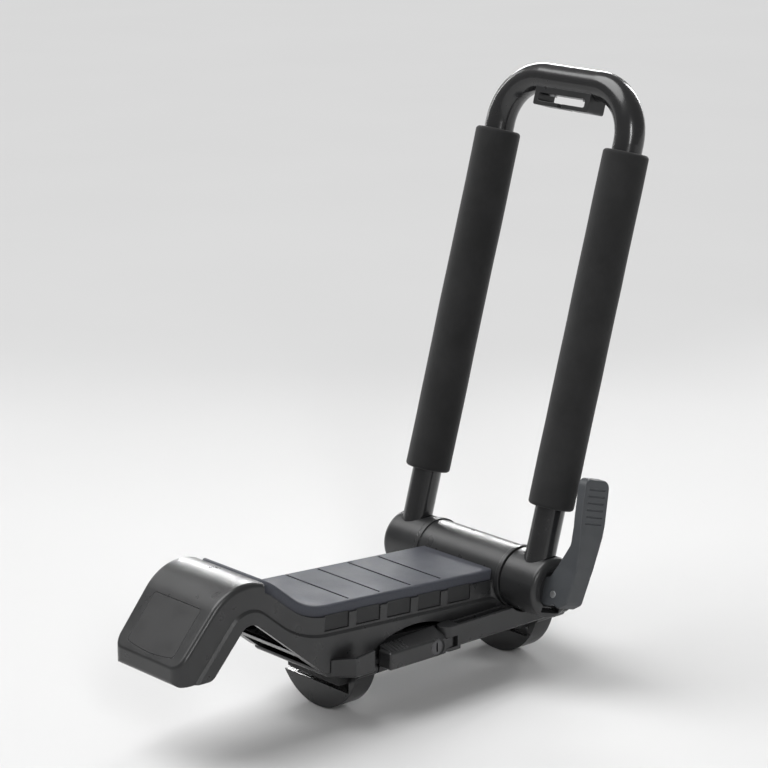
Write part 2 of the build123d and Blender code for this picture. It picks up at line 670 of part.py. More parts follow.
def u_tube():
    """One bent tube with a pin hole in each foot and the strap hook's screw holes below the top."""
    path = Pos(0, 0, -LEG_FORWARD) * leg_path()
    section = Plane(origin=path @ 0, z_dir=path % 0)
    outer = sweep(section * Circle(TUBE_RADIUS), path=path)
    inner = sweep(section * Circle(TUBE_RADIUS - TUBE_WALL), path=path)
    tube = outer - inner
    for side in (-1, 1):
        tube = tube - knuckle_pin(side, SEAT_FIT)
    for x in (-HOOK_SCREW_SPACING / 2, HOOK_SCREW_SPACING / 2):
        hole = Rot(90, 0, 0) * Cylinder(HOOK_SCREW_RADIUS + SEAT_FIT, TUBE_RADIUS)
        tube = tube - Pos(x, TUBE_REACH - TUBE_RADIUS, -LEG_FORWARD) * hole
    return tube


def foam_sleeve(side):
    """Foam sleeve on one leg, with softly rounded ends."""
    sleeve = Rot(90, 0, 0) * Cylinder(FOAM_OD / 2, FOAM_LENGTH)
    sleeve = fillet(sleeve.edges().filter_by(GeomType.CIRCLE), FOAM_EDGE)
    sleeve = sleeve - Rot(90, 0, 0) * Cylinder(TUBE_RADIUS + LOOSE_FIT, 2 * FOAM_LENGTH)
    return Pos(side * LEG_SPACING / 2, FOAM_START + FOAM_LENGTH / 2, -LEG_FORWARD) * sleeve


def strap_hook():
    """Hook block under the top of the tube: one long strap slot, open downwards through a gap in its lip."""
    bottom = TUBE_REACH - HOOK_BOTTOM
    outline = Pos(0, bottom + HOOK_HEIGHT / 2) * RectangleRounded(HOOK_WIDTH, HOOK_HEIGHT, HOOK_CORNER)
    slot_middle = bottom + HOOK_LIP + HOOK_SLOT_HEIGHT / 2
    outline = outline - Pos(0, slot_middle) * RectangleRounded(HOOK_SLOT_WIDTH, HOOK_SLOT_HEIGHT, HOOK_CORNER)
    outline = outline - Pos(HOOK_GAP_AT, bottom + HOOK_LIP / 2) * Rectangle(HOOK_GAP, HOOK_LIP + HOOK_CORNER)
    block = Pos(0, 0, -HOOK_FRONT) * extrude(outline, HOOK_DEPTH)
    tube = Pos(0, TUBE_REACH, -LEG_FORWARD) * x_cylinder(TUBE_RADIUS + SEAT_FIT, 2 * HOOK_WIDTH)
    block = block - tube
    for x in (-HOOK_SCREW_SPACING / 2, HOOK_SCREW_SPACING / 2):
        hole = Rot(90, 0, 0) * Cylinder(HOOK_SCREW_RADIUS + SEAT_FIT, 2 * HOOK_HEIGHT)
        reach = slot_middle + HOOK_HEIGHT
        block = block - Pos(x, reach, -LEG_FORWARD) * hole
    return block


def strap_hook_screws():
    """Two screws up through the hook's web into the tube, heads in the strap slot's roof."""
    bottom = TUBE_REACH - HOOK_BOTTOM
    roof = bottom + HOOK_LIP + HOOK_SLOT_HEIGHT
    length = TUBE_REACH - TUBE_RADIUS + TUBE_WALL - roof
    screws = []
    for x in (-HOOK_SCREW_SPACING / 2, HOOK_SCREW_SPACING / 2):
        shank = Pos(0, length / 2, 0) * Rot(90, 0, 0) * Cylinder(HOOK_SCREW_RADIUS, length)
        head = Rot(90, 0, 0) * Cylinder(HOOK_SCREW_HEAD, HOOK_SCREW_HEAD_HEIGHT)
        screw = shank + Pos(0, -HOOK_SCREW_HEAD_HEIGHT / 2, 0) * head
        screws.append(Pos(x, roof, -LEG_FORWARD) * screw)
    return Compound(screws)


def clamp_rod():
    """Rod through barrel and knuckles, with a dropped eye at its near end for the cam pin."""
    far = FAR_END - LOOSE_FIT
    length = far + CAM_PIN_AT
    rod = Pos(far - length / 2, 0, 0) * x_cylinder(ROD_RADIUS, length)
    eye = Pos(-CAM_PIN_AT, -CAM_PIN_DROP, 0)
    rod = rod + eye * Cylinder(EYE_RADIUS, EYE_THICKNESS)
    return rod - eye * Cylinder(CAM_PIN_RADIUS + RUNNING_FIT, 2 * EYE_THICKNESS)


def rod_nut():
    """Round nut in the far knuckle, with a hexagon socket in its face."""
    nut = x_cylinder(NUT_RADIUS, NUT_LENGTH)
    nut = chamfer(nut.edges().filter_by(GeomType.CIRCLE), TRAY_EDGE / 4)
    nut = nut - x_cylinder(ROD_RADIUS + SEAT_FIT, 2 * NUT_LENGTH)
    nut = nut - extrude(Plane.YZ * RegularPolygon(NUT_SOCKET, 6), NUT_LENGTH)
    return Pos(FAR_END - NUT_LENGTH / 2 + SEAT_FIT, 0, 0) * nut


def cam_side():
    """Side outline of the cam lever: round foot set off from the pin, swelling back and a thin blade."""
    points = LEVER_INNER_EDGE + LEVER_OUTER_EDGE
    rounds = LEVER_INNER_ROUNDS + LEVER_OUTER_ROUNDS
    outline = make_face(FilletPolyline(*points, radius=list(rounds), close=True))
    return outline + Pos(CAM_SHIFT[0], CAM_SHIFT[1] - CAM_PIN_DROP) * Circle(CAM_RADIUS)


def cam_front():
    """Front outline of the cam lever: narrow at the hub, wider at the thumb pad, rounded at the end."""
    right = [(LEVER_HUB_HALF, -2 * CAM_RADIUS), (LEVER_HUB_HALF, LEVER_NECK_TOP),
             (LEVER_PAD_HALF, LEVER_PAD_START), (LEVER_PAD_HALF, LEVER_REACH)]
    left = [(-x, y) for x, y in reversed(right)]
    rounds = LEVER_FRONT_ROUNDS + LEVER_FRONT_ROUNDS[::-1]
    return make_face(FilletPolyline(*right, *left, radius=list(rounds), close=True))


def on_outer_run(edge):
    """True for the lever's outer edges, up both flanks and across the end of the thumb pad."""
    middle = edge @ 0.5
    flank = abs(middle.Z) > LEVER_HUB_HALF - LOOSE_FIT
    top = abs(middle.Y - LEVER_REACH) < SEAT_FIT
    upward = abs((edge % 0.5).X) < abs((edge % 0.5).Y)
    between = (LEVER_INNER_EDGE[1][0] + LEVER_OUTER_EDGE[-1][0]) / 2
    return middle.X < between and (top or upward and flank)


def cam_lever():
    """Cam lever: side and front outlines crossed, slotted for the rod's eye, with grip grooves."""
    facing = Plane(origin=(0, 0, 0), x_dir=(0, 0, 1), z_dir=(-1, 0, 0))
    side = extrude(cam_side(), 2 * LEVER_PAD_HALF, both=True)
    lever = side & extrude(facing * cam_front(), LEVER_REACH, both=True)
    lever = fillet([e for e in lever.edges() if on_outer_run(e)], LEVER_SIDE_EDGE)
    rod_room = ROD_RADIUS + LOOSE_FIT
    shift = CAM_RADIUS - rod_room / 2
    quarter = Pos(shift, -shift) * Rectangle(2 * CAM_RADIUS + rod_room, 2 * CAM_RADIUS + rod_room)
    slot = quarter + Pos(0, -CAM_PIN_DROP) * Circle(EYE_RADIUS + PASSING_FIT)
    lever = lever - extrude(slot, EYE_THICKNESS / 2 + LOOSE_FIT, both=True)
    lever = lever - Pos(0, -CAM_PIN_DROP, 0) * Cylinder(CAM_PIN_RADIUS + SEAT_FIT, 4 * LEVER_PAD_HALF)
    (low_x, low_y), (high_x, high_y) = LEVER_OUTER_EDGE[-2:]
    for i in range(GRIP_COUNT):
        y = LEVER_REACH - GRIP_FROM_TOP - i * GRIP_PITCH
        x = high_x + (low_x - high_x) * (high_y - y) / (high_y - low_y)
        lever = lever - Pos(x, y, 0) * Cylinder(GRIP_RADIUS, 2 * LEVER_HUB_HALF)
    return Pos(-CAM_PIN_AT, 0, 0) * lever


def cam_pin():
    """Bright pin through the lever's hub, with flat heads just proud of its sides."""
    pin = Cylinder(CAM_PIN_RADIUS, 2 * (LEVER_HUB_HALF + CAM_PIN_HEAD))
    return Pos(-CAM_PIN_AT, -CAM_PIN_DROP, 0) * pin


def tray_plan(inset):
    """Plan outline of the tray with its corners cut off, moved inwards by an inset."""
    length = TRAY_FRONT + TRAY_BACK
    outline = Pos((TRAY_BACK - TRAY_FRONT) / 2, 0) * Rectangle(length - 2 * inset, 2 * TRAY_HALF - 2 * inset)
    return chamfer(outline.vertices(), TRAY_CHAMFER - inset * (2 - sqrt(2)))


def side_channels(height):
    """Inner ridges that make an open channel along each side of the tray behind the bay, closed in front."""
    length = TRAY_BACK - TRAY_CHAMFER + BAY_BACK
    ridge = Pos(length / 2, RIDGE_WALL / 2 - RAIL_WIDTH / 2, 0) * Box(length, RIDGE_WALL, height)
    closed_end = Pos(TRAY_WALL / 2, 0, 0) * Box(TRAY_WALL, RAIL_WIDTH, height)
    near = Pos(-BAY_BACK, TRAY_HALF - RAIL_WIDTH / 2, TRAY_BOTTOM + height / 2) * (ridge + closed_end)
    return near + mirror(near, Plane.XZ)


def above_rim():
    """Wedge over the front of the tray, whose rim rises towards the bay."""
    rise = (TRAY_TOP - RIM_FRONT) / (TRAY_FRONT - BAY_FRONT)
    front, back = -TRAY_FRONT - TRAY_CHAMFER, -BAY_FRONT + TRAY_CHAMFER
    low, high = RIM_FRONT - rise * TRAY_CHAMFER, TRAY_TOP + rise * TRAY_CHAMFER
    return along_y(make_face(Polyline((front, low), (back, high), (front, high), close=True)), 2 * TRAY_HALF)


def clamp_tray():
    """Pan that the base stands in, with the lever's bay and ears, and hooks below for the jaw shaft."""
    height = TRAY_TOP - TRAY_BOTTOM
    pan = Pos(0, 0, TRAY_BOTTOM) * extrude(tray_plan(0), height)
    pan = chamfer(pan.faces().sort_by(Axis.Z)[0].edges(), TRAY_EDGE)
    pan = pan - Pos(0, 0, BASE_BOTTOM) * extrude(tray_plan(TRAY_WALL), height) - above_rim()
    pan = pan + side_channels(height)
    pan = pan - y_cylinder(BARREL_RADIUS + RIM_RISE + PASSING_FIT, 4 * TRAY_HALF)
    front_gap = Box(2 * TRAY_CHAMFER, 2 * (SKIRT_HALF + PASSING_FIT), height)
    pan = pan - Pos(-TRAY_FRONT, 0, BASE_BOTTOM + height / 2) * front_gap
    bay_depth = TRAY_HALF - LEVER_INSIDE + LOOSE_FIT
    bay = Box(BAY_FRONT - BAY_BACK, bay_depth, 3 * height)
    pan = pan - Pos(-(BAY_FRONT + BAY_BACK) / 2, -TRAY_HALF + bay_depth / 2, TRAY_BOTTOM) * bay
    pan = pan - shaft_reliefs() + lever_ears() + shaft_hooks()
    pin_hole = Cylinder(PIVOT_RADIUS + SEAT_FIT, 2 * LEVER_HEIGHT)
    pan = pan - Pos(-PIVOT_BACK, PIVOT_Y, LEVER_TOP - LEVER_HEIGHT) * pin_hole
    for x in TRAY_SCREW_X:
        for side in (-1, 1):
            spot = Pos(x, side * TRAY_SCREW_Y, TRAY_BOTTOM)
            pan = pan - spot * Cylinder(TRAY_SCREW_RADIUS + SEAT_FIT, 4 * TRAY_FLOOR)
            pan = pan - spot * Cylinder(TRAY_SCREW_HEAD + SEAT_FIT, 2 * TRAY_SCREW_HEAD_HEIGHT)
    return pan


def lever_ears():
    """Two round ears at the back of the bay, flush with the tray's side, that hold the mount lever's pin."""
    reach = PIVOT_BACK - BAY_BACK + TRAY_WALL
    outline = Circle(EAR_RADIUS) + Pos(reach / 2, 0) * Rectangle(reach, 2 * EAR_RADIUS)
    upper_foot = LEVER_TOP - EAR_THICKNESS
    upper = Pos(-PIVOT_BACK, PIVOT_Y, upper_foot) * extrude(outline, TRAY_TOP - upper_foot)
    lower = Pos(-PIVOT_BACK, PIVOT_Y, LEVER_BOTTOM) * extrude(outline, EAR_THICKNESS)
    return upper + lower


def hook_places():
    """X of the middle of each shaft hook, just behind each jaw."""
    return [mid + JAW_WIDTH / 2 + HOOK_STEP + HOOK_RUN / 2 for mid in JAW_MIDS]


def shaft_hooks():
    """Curved hooks below the tray, open outwards, that the jaw shaft turns in."""
    inner = SHAFT_RADIUS + RUNNING_FIT
    outer = SHAFT_RADIUS + HOOK_WALL
    ring = Circle(outer) - Circle(inner)
    mouth = Pos(-outer, outer / 2 + inner / 2) * Rectangle(2 * outer, outer)
    drop = TRAY_BOTTOM - SHAFT_Z + TRAY_FLOOR / 2
    shank = Pos((inner + outer) / 2, drop / 2) * Rectangle(outer - inner, drop)
    profile = Plane.YZ * Pos(SHAFT_Y, SHAFT_Z) * (ring - mouth + shank)
    hooks = Part()
    for x in hook_places():
        hooks = hooks + Pos(x - HOOK_RUN / 2, 0, 0) * extrude(profile, HOOK_RUN)
    return hooks


def shaft_reliefs():
    """Round hollows under the tray's floor over the two jaws' knuckles, and a slot over the crank."""
    radius = JAW_KNUCKLE_RADIUS + PASSING_FIT
    hollow = x_cylinder(radius, JAW_WIDTH + 2 * PASSING_FIT)
    slot = Box(CRANK_WIDTH + 2 * PASSING_FIT, 4 * radius, 4 * TRAY_FLOOR)
    reliefs = Pos(-CRANK_BACK, SHAFT_Y - radius, TRAY_BOTTOM) * slot
    for mid in JAW_MIDS:
        reliefs = reliefs + Pos(mid, SHAFT_Y, SHAFT_Z) * hollow
    return reliefs


def tray_screws():
    """Screws up through the tray's floor into the base's bosses, heads flush below."""
    screws = []
    for x in TRAY_SCREW_X:
        for side in (-1, 1):
            shank = Pos(0, 0, TRAY_SCREW_LENGTH / 2) * Cylinder(TRAY_SCREW_RADIUS, TRAY_SCREW_LENGTH)
            head = Pos(0, 0, TRAY_SCREW_HEAD_HEIGHT / 2) * Cylinder(TRAY_SCREW_HEAD, TRAY_SCREW_HEAD_HEIGHT)
            bar = Box(TRAY_SCREW_HEAD, CROSS_WIDTH, TRAY_SCREW_HEAD_HEIGHT)
            cross = bar + Rot(0, 0, 90) * bar
            screws.append(Pos(x, side * TRAY_SCREW_Y, TRAY_BOTTOM) * (shank + head - cross))
    return Compound(screws)


def seat_pad(mid):
    """Rubber block under the tray with a ridged lower face that the load bar bears on."""
    width = SEAT_NEAR + SEAT_FAR
    height = TRAY_BOTTOM - BAR_SEAT_Z
    block = Box(SEAT_LENGTH, width, height)
    block = chamfer(block.faces().sort_by(Axis.Z)[0].edges(), TRAY_EDGE)
    step = (SEAT_LENGTH - 2 * TRAY_EDGE) / SEAT_RIDGES
    for i in range(1, SEAT_RIDGES):
        x = -SEAT_LENGTH / 2 + TRAY_EDGE + i * step
        block = block - Pos(x, 0, -height / 2) * Box(SEAT_GROOVE_WIDTH, 2 * width, 2 * SEAT_GROOVE_DEPTH)
    return Pos(mid, (SEAT_FAR - SEAT_NEAR) / 2, (TRAY_BOTTOM + BAR_SEAT_Z) / 2) * block


def lever_crown(front, back, outside):
    """Wedge on the mount lever that rises inwards and towards its back, with ribs across its free end."""
    low = [(front, outside, 0), (front, EYE_OUTER, 0), (front, EYE_OUTER, LEVER_CROWN_FRONT)]
    high = [(back, outside, 0), (back, EYE_OUTER, 0), (back, EYE_OUTER, LEVER_CROWN)]
    crown = loft([make_face(Polyline(*low, close=True)), make_face(Polyline(*high, close=True))], ruled=True)
    slope = degrees(atan2(LEVER_CROWN_FRONT, EYE_OUTER - outside))
    rib = Pos(0, 0, LEVER_CROWN) * Box(LEVER_RIB_WIDTH, 4 * LEVER_DEPTH, 2 * LEVER_CROWN)
    for i in range(LEVER_RIB_COUNT):
        foot = Pos(front + (i + 1) * LEVER_RIB_PITCH, outside, -LEVER_RIB_DEPTH / 2)
        crown = crown - foot * Rot(slope, 0, 0) * rib
    return crown


def mount_lever():
    """Side lever: long bar with ribs at its free end, a lock bore, and an eye that turns between the ears."""
    front = -LEVER_FRONT + PIVOT_BACK
    outside = -LEVER_OUTSIDE - PIVOT_Y
    neck = EYE_OUTER + LEVER_NECK
    corners = [(front, EYE_OUTER), (front, outside), (-neck, outside), (-neck, -EYE_OUTER)]
    corners = corners + [(0, -EYE_OUTER), (0, EYE_OUTER)]
    plan = make_face(FilletPolyline(*corners, radius=list(LEVER_CORNERS), close=True)) + Circle(EYE_OUTER)
    bar = extrude(plan, LEVER_HEIGHT)
    long_edges = [e for e in bar.edges().filter_by(Axis.X) if abs((e @ 0.5).Y - outside) < SEAT_FIT]
    bar = chamfer(long_edges, LEVER_EDGE)
    crown = lever_crown(front + LEVER_CORNERS[0], -neck, outside + LEVER_EDGE)
    bar = bar + Pos(0, 0, LEVER_HEIGHT) * crown
    room = EAR_THICKNESS + LOOSE_FIT
    for z in (0, LEVER_HEIGHT):
        bar = bar - Pos(0, 0, z) * Box(2 * neck, 4 * neck, 2 * room)
    bar = bar - Cylinder(PIVOT_RADIUS + RUNNING_FIT, 4 * LEVER_HEIGHT)
    lock = Pos(PIVOT_BACK - LOCK_BACK, outside, LEVER_HEIGHT / 2)
    bar = bar - lock * y_cylinder(LOCK_RADIUS + RUNNING_FIT, 2 * (LOCK_LENGTH + LOCK_RING_DEPTH))
    bar = bar - lock * y_cylinder(LOCK_RADIUS + LOCK_RING, 2 * LOCK_RING_DEPTH)
    tail = LOCK_LENGTH + LOCK_RING_DEPTH + LOCK_TAIL_LENGTH + LOOSE_FIT
    bar = bar - lock * y_cylinder(LOCK_TAIL_RADIUS + LOOSE_FIT, 2 * tail)
    return Pos(-PIVOT_BACK, PIVOT_Y, LEVER_BOTTOM) * bar


def lock_cylinder():
    """Key lock core: round plug with a key slot, and a thinner tail behind."""
    plug = Pos(0, LOCK_LENGTH / 2, 0) * y_cylinder(LOCK_RADIUS, LOCK_LENGTH)
    tail = Pos(0, LOCK_LENGTH + LOCK_TAIL_LENGTH / 2, 0) * y_cylinder(LOCK_TAIL_RADIUS, LOCK_TAIL_LENGTH)
    slot = Box(KEY_SLOT_WIDTH, 2 * KEY_SLOT_DEPTH, KEY_SLOT_LENGTH)
    return Pos(-LOCK_BACK, -LEVER_OUTSIDE + LOCK_RING_DEPTH - RUNNING_FIT, LOCK_Z) * (plug + tail - slot)


def lever_pin():
    """Upright pin of the mount lever."""
    pin = Cylinder(PIVOT_RADIUS, LEVER_HEIGHT)
    return Pos(-PIVOT_BACK, PIVOT_Y, LEVER_TOP - LEVER_HEIGHT / 2) * pin


def jaw_outline():
    """Jaw seen along the bar: part of a disc with a flat top, open throat, and a knuckle on the shaft."""
    disc = Pos(JAW_CENTRE_Y, JAW_CENTRE_Z) * Circle(JAW_RADIUS)
    far = JAW_CENTRE_Y + JAW_RADIUS
    throat = Rectangle(far - JAW_THROAT_Y, 2 * JAW_RADIUS)
    throat = Pos((JAW_THROAT_Y + far) / 2, JAW_TOP + JAW_RADIUS) * throat
    above = Pos(JAW_CENTRE_Y, SHAFT_Z + JAW_RADIUS) * Rectangle(3 * JAW_RADIUS, 2 * JAW_RADIUS)
    return disc - throat - above + Pos(SHAFT_Y, SHAFT_Z) * Circle(JAW_KNUCKLE_RADIUS)


def jaw(mid, blind):
    """Half-moon jaw on the shaft, with a shallow tray in its flat top for the rubber pad."""
    body = Pos(mid - JAW_WIDTH / 2, 0, 0) * extrude(Plane.YZ * jaw_outline(), JAW_WIDTH)
    body = body - Pos(mid + blind, SHAFT_Y, SHAFT_Z) * x_cylinder(SHAFT_RADIUS + SEAT_FIT, JAW_WIDTH)
    return body - jaw_pad_block(mid, LOOSE_FIT)


def jaw_pad_block(mid, grow):
    """Rubber pad in the jaw's flat top, or the room for it."""
    thickness = JAW_PAD_THICKNESS + JAW_PAD_RISE
    block = Box(JAW_WIDTH - 2 * JAW_LIP + 2 * grow, JAW_PAD_LENGTH + 2 * grow, thickness)
    return Pos(mid, JAW_PAD_Y, JAW_TOP + JAW_PAD_RISE - thickness / 2) * block


def jaw_pad(mid):
    """Rubber pad with two shallow grooves along the bar."""
    pad = jaw_pad_block(mid, 0)
    for y in JAW_PAD_GROOVES:
        groove = Box(2 * JAW_WIDTH, SEAT_GROOVE_WIDTH, GROOVE_DEPTH)
        pad = pad - Pos(mid, JAW_PAD_Y + y, JAW_TOP + JAW_PAD_RISE) * groove
    return pad


def jaw_shaft():
    """Steel shaft below the tray's near side, from a blind hole in the front jaw to behind the rear hook."""
    front = JAW_MIDS[0] - JAW_WIDTH / 2 + JAW_BLIND
    back = JAW_MIDS[1] + JAW_WIDTH / 2 + SHAFT_OVERHANG
    return Pos((front + back) / 2, SHAFT_Y, SHAFT_Z) * x_cylinder(SHAFT_RADIUS, back - front)


def shaft_rings():
    """Rings behind the two hooks that keep the shaft from sliding."""
    rings = []
    for x in hook_places():
        ring = x_cylinder(SHAFT_RADIUS + RING_WALL, RING_WIDTH)
        ring = ring - x_cylinder(SHAFT_RADIUS + SEAT_FIT, 2 * RING_WIDTH)
        rings.append(Pos(x + HOOK_RUN / 2 + RING_GAP + RING_WIDTH / 2, SHAFT_Y, SHAFT_Z) * ring)
    return Compound(rings)


def drive_crank():
    """Crank on the shaft whose tip lies under the closed lever's inner edge and keeps the jaws shut."""
    tip_y = -LEVER_INSIDE - CRANK_UNDER_LEVER
    tip_z = LEVER_BOTTOM - PASSING_FIT
    outer = SHAFT_RADIUS + CRANK_WALL
    corners = [(SHAFT_Y, tip_z), (tip_y, tip_z), (tip_y, tip_z - CRANK_TIP), (SHAFT_Y, SHAFT_Z - outer)]
    arm = make_face(Polyline(*corners, close=True))
    outline = arm + Pos(SHAFT_Y, SHAFT_Z) * Circle(outer)
    outline = outline - Pos(SHAFT_Y, SHAFT_Z) * Circle(SHAFT_RADIUS + SEAT_FIT)
    return Pos(-CRANK_BACK - CRANK_WIDTH / 2, 0, 0) * extrude(Plane.YZ * outline, CRANK_WIDTH)


# Pieces drawn about the hinge axis, and pieces drawn in the leaning leg frame
UPRIGHT_FRAME = {
    "base_shell": base_shell(),
    "saddle_pad": saddle_pad(),
    "nose_plate": plate_block(0),
    "hinge_bushes": hinge_bushes(),
    "clamp_tray": clamp_tray(),
    "tray_screws": tray_screws(),
    "front_seat_pad": seat_pad(JAW_MIDS[0]),
    "rear_seat_pad": seat_pad(JAW_MIDS[1]),
    "lever_pin": lever_pin(),
    "mount_lever": mount_lever(),
    "lock_cylinder": lock_cylinder(),
    "jaw_shaft": jaw_shaft(),
    "shaft_rings": shaft_rings(),
    "drive_crank": drive_crank(),
    "front_jaw": jaw(JAW_MIDS[0], JAW_BLIND),
    "rear_jaw": jaw(JAW_MIDS[1], 0),
    "front_jaw_pad": jaw_pad(JAW_MIDS[0]),
    "rear_jaw_pad": jaw_pad(JAW_MIDS[1]),
}
LEANING_FRAME = {
    "u_tube": u_tube(),
    "near_foam_sleeve": foam_sleeve(-1),
    "far_foam_sleeve": foam_sleeve(1),
    "near_knuckle": near_knuckle(),
    "far_knuckle": far_knuckle(),
    "knuckle_pins": knuckle_pins(),
    "friction_washers": friction_washers(),
    "strap_hook": strap_hook(),
    "strap_hook_screws": strap_hook_screws(),
    "clamp_rod": clamp_rod(),
    "rod_nut": rod_nut(),
    "cam_seat": cam_seat(),
    "cam_lever": cam_lever(),
    "cam_pin": cam_pin(),
}

os.makedirs("parts", exist_ok=True)
for node, shape in UPRIGHT_FRAME.items():
    export_step(TO_BAR_SEAT * shape, f"parts/{node}.step")
for node, shape in LEANING_FRAME.items():
    export_step(TO_BAR_SEAT * LEG.location * shape, f"parts/{node}.step")
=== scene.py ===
import json
import math

import bpy
import numpy as np
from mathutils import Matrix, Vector


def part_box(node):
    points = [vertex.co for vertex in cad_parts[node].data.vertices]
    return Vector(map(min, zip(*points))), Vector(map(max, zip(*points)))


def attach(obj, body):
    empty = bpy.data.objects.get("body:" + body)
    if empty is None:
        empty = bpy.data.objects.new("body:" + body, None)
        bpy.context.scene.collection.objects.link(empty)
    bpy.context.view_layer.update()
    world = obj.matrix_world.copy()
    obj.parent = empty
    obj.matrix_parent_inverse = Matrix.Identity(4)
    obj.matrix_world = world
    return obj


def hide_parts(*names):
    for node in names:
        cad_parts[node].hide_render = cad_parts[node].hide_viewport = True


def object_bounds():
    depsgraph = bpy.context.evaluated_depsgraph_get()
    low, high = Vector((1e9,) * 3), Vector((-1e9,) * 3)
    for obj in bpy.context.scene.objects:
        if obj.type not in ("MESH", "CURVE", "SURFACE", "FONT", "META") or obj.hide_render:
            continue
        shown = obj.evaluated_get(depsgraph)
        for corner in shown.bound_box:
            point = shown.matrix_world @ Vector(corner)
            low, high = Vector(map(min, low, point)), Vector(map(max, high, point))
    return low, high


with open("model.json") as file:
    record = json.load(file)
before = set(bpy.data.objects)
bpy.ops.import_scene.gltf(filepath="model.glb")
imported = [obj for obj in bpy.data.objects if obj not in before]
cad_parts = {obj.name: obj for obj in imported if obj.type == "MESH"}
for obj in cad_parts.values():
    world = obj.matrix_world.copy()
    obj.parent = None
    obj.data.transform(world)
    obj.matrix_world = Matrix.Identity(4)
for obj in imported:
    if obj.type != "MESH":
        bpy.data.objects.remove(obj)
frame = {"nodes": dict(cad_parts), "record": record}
cad_low, cad_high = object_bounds()

# %% [markdown]
# This lesson dresses a folding kayak carrier. The rigid pieces come from the CAD model and keep their
# shape, so most of the work here is finish: moulded plastic, rubber, foam, paint and plated steel.
# First we look at what the frame holds, because every place and size below is measured from it.

# %% Look at the frame
nodes = frame["nodes"]
slot_of = {row["node"]: row["material_slot"] for row in frame["record"]["subparts"]}
size_mm = (cad_high - cad_low) * 1000
print("pieces in the frame:", len(nodes))
print("size in mm:", [round(v, 1) for v in size_mm])

# %% [markdown]
# The camera stands where the photographer stood. Its place, its lens and its small shift were found by
# matching known points of the carrier to the picture: turned 41.6 degrees round from the front of the
# carrier, 15 degrees above the horizon, and far enough away that the lens is a long one. A long lens keeps
# the two legs of the upright nearly parallel, as they are in the picture.

# %% Camera
CAMERA_TURN = math.radians(41.629)
CAMERA_RISE = math.radians(14.995)
CAMERA_DISTANCE = 2.25865
CAMERA_AIM = Vector((-0.04947, 0.0, 0.22565))
CAMERA_LENS_MM = 130.476
CAMERA_SHIFT = (0.01039, 0.01224)
CAMERA_REACH = 100.0

look = Vector((math.sin(CAMERA_TURN) * math.cos(CAMERA_RISE),
               math.cos(CAMERA_TURN) * math.cos(CAMERA_RISE),
               -math.sin(CAMERA_RISE)))
camera = bpy.data.objects.new("camera", bpy.data.cameras.new("camera"))
bpy.context.scene.collection.objects.link(camera)
camera.location = CAMERA_AIM - look * CAMERA_DISTANCE
camera.rotation_mode = "QUATERNION"
camera.rotation_quaternion = look.to_track_quat("-Z", "Y")
camera.data.lens = CAMERA_LENS_MM
camera.data.shift_x, camera.data.shift_y = CAMERA_SHIFT
camera.data.clip_end = CAMERA_REACH
bpy.context.scene.camera = camera
print("camera at", [round(v, 3) for v in camera.location])

# %% [markdown]
# A material in Blender is a small network of nodes. The helpers below add one node at a time and join
# sockets by name, so that each finish further down reads as a short recipe.

# %% Helpers for nodes
def start_material(name):
    """An empty material with a Principled shader joined to the output; returns the material and the shader."""
    material = bpy.data.materials.new(name)
    material.use_nodes = True
    tree = material.node_tree
    tree.nodes.clear()
    shader = tree.nodes.new("ShaderNodeBsdfPrincipled")
    output = tree.nodes.new("ShaderNodeOutputMaterial")
    tree.links.new(shader.outputs["BSDF"], output.inputs["Surface"])
    return material, shader


def join(material, value, socket):
    """Joins an output socket to an input, or sets the input when the value is plain."""
    if isinstance(value, bpy.types.NodeSocket):
        material.node_tree.links.new(value, socket)
    else:
        socket.default_value = value


def add(material, kind, inputs=None, **settings):
    """One node of a kind; inputs are numbers, colours or the output sockets that feed it."""
    made = material.node_tree.nodes.new(kind)
    for key, value in settings.items():
        setattr(made, key, value)
    for key, value in (inputs or {}).items():
        join(material, value, made.inputs[key])
    return made


print("node helpers ready")

# %% [markdown]
# No real surface has one even colour or one even shine, so every finish here is stirred with noise. All
# patterns read Object coordinates, which are metres: a noise of scale 1000 has features of about a
# millimetre. Noise keeps close to its middle value, so spread pulls the useful part of it, from 0.3 to 0.7,
# over the range that a finish needs.

# %% Helpers for patterns and colours
NOISE_LOW, NOISE_HIGH = 0.3, 0.7
MIX_FIRST, MIX_SECOND, MIX_COLOUR = 6, 7, 2


def place(material):
    """The point on the piece, in metres."""
    return add(material, "ShaderNodeTexCoord").outputs["Object"]


def noise(material, scale, detail=2.0, roughness=0.5, stretch=None):
    """Soft noise from 0 to 1; a stretch draws it out along an axis."""
    where = place(material)
    if stretch:
        where = add(material, "ShaderNodeMapping", {"Vector": where, "Scale": stretch}).outputs["Vector"]
    values = {"Vector": where, "Scale": scale, "Detail": detail, "Roughness": roughness}
    return add(material, "ShaderNodeTexNoise", values).outputs["Fac"]


def spread(material, value, low, high, from_low=NOISE_LOW, from_high=NOISE_HIGH):
    """Stretches a value over a range of numbers, held at the ends."""
    values = {"Value": value, "From Min": from_low, "From Max": from_high, "To Min": low, "To Max": high}
    return add(material, "ShaderNodeMapRange", values).outputs["Result"]


def times(material, first, second):
    """The product of two values."""
    return add(material, "ShaderNodeMath", {0: first, 1: second}, operation="MULTIPLY").outputs["Value"]


def shade(colour, factor):
    """A colour made darker or lighter by a factor."""
    return [factor * c for c in colour]


def blend(material, amount, first, second):
    """A colour between two, by an amount from 0 to 1; each is a triple or comes from another node."""
    made = add(material, "ShaderNodeMix", {"Factor": amount}, data_type="RGBA")
    for colour, slot in ((first, MIX_FIRST), (second, MIX_SECOND)):
        from_node = isinstance(colour, bpy.types.NodeSocket)
        join(material, colour if from_node else (*colour, 1.0), made.inputs[slot])
    return made.outputs[MIX_COLOUR]


print("pattern helpers ready")

